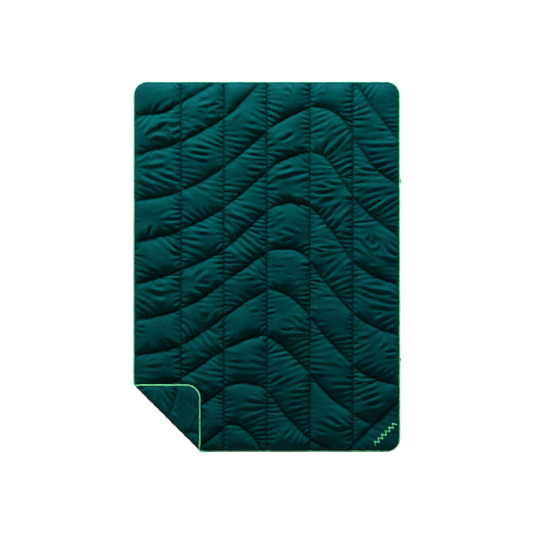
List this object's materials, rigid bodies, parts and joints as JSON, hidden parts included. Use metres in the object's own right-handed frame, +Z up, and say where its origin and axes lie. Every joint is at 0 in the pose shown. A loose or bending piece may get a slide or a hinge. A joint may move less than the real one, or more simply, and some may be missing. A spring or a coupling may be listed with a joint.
{
  "type": "camp blanket",
  "caption": "Quilted insulated camp blanket lying flat, with a bound edge, wave quilting, a plain corner patch, webbing loops and one corner folded over.",
  "frame": {"origin": "middle of the underside of the whole blanket, on the surface it lies on", "axes": "+X to the blanket's right edge, where the webbing loops are; +Y to its head end; +Z up, out of the quilted face"},
  "size_m": [1.3255, 1.83, 0.0385],
  "materials": {
    "top_cloth": "thin ripstop polyester with a soft sheen",
    "back_cloth": "thin ripstop polyester with a soft sheen",
    "edge_tape": "woven grosgrain tape",
    "edge_thread": "polyester sewing thread",
    "quilting_thread": "polyester sewing thread",
    "fill": "synthetic down fill",
    "webbing": "woven webbing",
    "emblem": "embroidered satin stitch"
  },
  "bodies": {
    "corner_flap": {"back_shell_flap": "back_cloth", "binding_stitch_flap": "edge_thread", "column_thread_flap": "quilting_thread", "edge_binding_flap": "edge_tape", "fill_flap": "fill", "top_shell_flap": "top_cloth", "wave_08_thread_flap": "quilting_thread", "wave_09_thread_flap": "quilting_thread"},
    "left_half": {"back_shell_left": "back_cloth", "binding_stitch_left": "edge_thread", "column_thread_1": "quilting_thread", "column_thread_2": "quilting_thread", "column_thread_3": "quilting_thread", "edge_binding_left": "edge_tape", "fill_column_1": "fill", "fill_column_2": "fill", "fill_column_3": "fill", "top_shell_left": "top_cloth", "wave_01_thread_left": "quilting_thread", "wave_02_thread_left": "quilting_thread", "wave_03_thread_left": "quilting_thread", "wave_04_thread_left": "quilting_thread", "wave_05_thread_left": "quilting_thread", "wave_06_thread_left": "quilting_thread", "wave_07_thread_left": "quilting_thread", "wave_08_thread_left": "quilting_thread", "wave_09_thread_left": "quilting_thread", "wave_10_thread_left": "quilting_thread"},
    "right_half": {"back_shell_right": "back_cloth", "binding_stitch_right": "edge_thread", "column_thread_4": "quilting_thread", "column_thread_5": "quilting_thread", "corner_patch": "top_cloth", "edge_binding_right": "edge_tape", "fill_column_4": "fill", "fill_column_5": "fill", "fill_column_6": "fill", "lower_loop_bar_tack": "edge_thread", "patch_emblem": "emblem", "patch_stitch": "quilting_thread", "top_shell_right": "top_cloth", "upper_loop_bar_tack": "edge_thread", "wave_00_thread_right": "quilting_thread", "wave_03_thread_right": "quilting_thread", "wave_04_thread_right": "quilting_thread", "wave_05_thread_right": "quilting_thread", "wave_06_thread_right": "quilting_thread", "wave_07_thread_right": "quilting_thread", "wave_08_thread_right": "quilting_thread", "wave_09_thread_right": "quilting_thread"},
    "lower_loop": {"lower_loop": "webbing"},
    "upper_loop": {"upper_loop": "webbing"}
  },
  "joints": [
    {"name": "corner_fold", "type": "hinge", "parent": "left_half", "child": "corner_flap", "pos_m": [-0.621, -0.621, 0.019], "axis": [0.7071, -0.7071, 0], "range_deg": [0, 180]},
    {"name": "centre_fold", "type": "hinge", "parent": "left_half", "child": "right_half", "pos_m": [0, 0, 0.019], "axis": [0, -1, 0], "range_deg": [0, 170]},
    {"name": "upper_loop_swing", "type": "hinge", "parent": "right_half", "child": "upper_loop", "pos_m": [0.6613, 0.422, 0.0045], "axis": [0, 1, 0], "range_deg": [-55, 55]},
    {"name": "lower_loop_swing", "type": "hinge", "parent": "right_half", "child": "lower_loop", "pos_m": [0.6613, -0.459, 0.0045], "axis": [0, 1, 0], "range_deg": [-55, 55]}
  ]
}
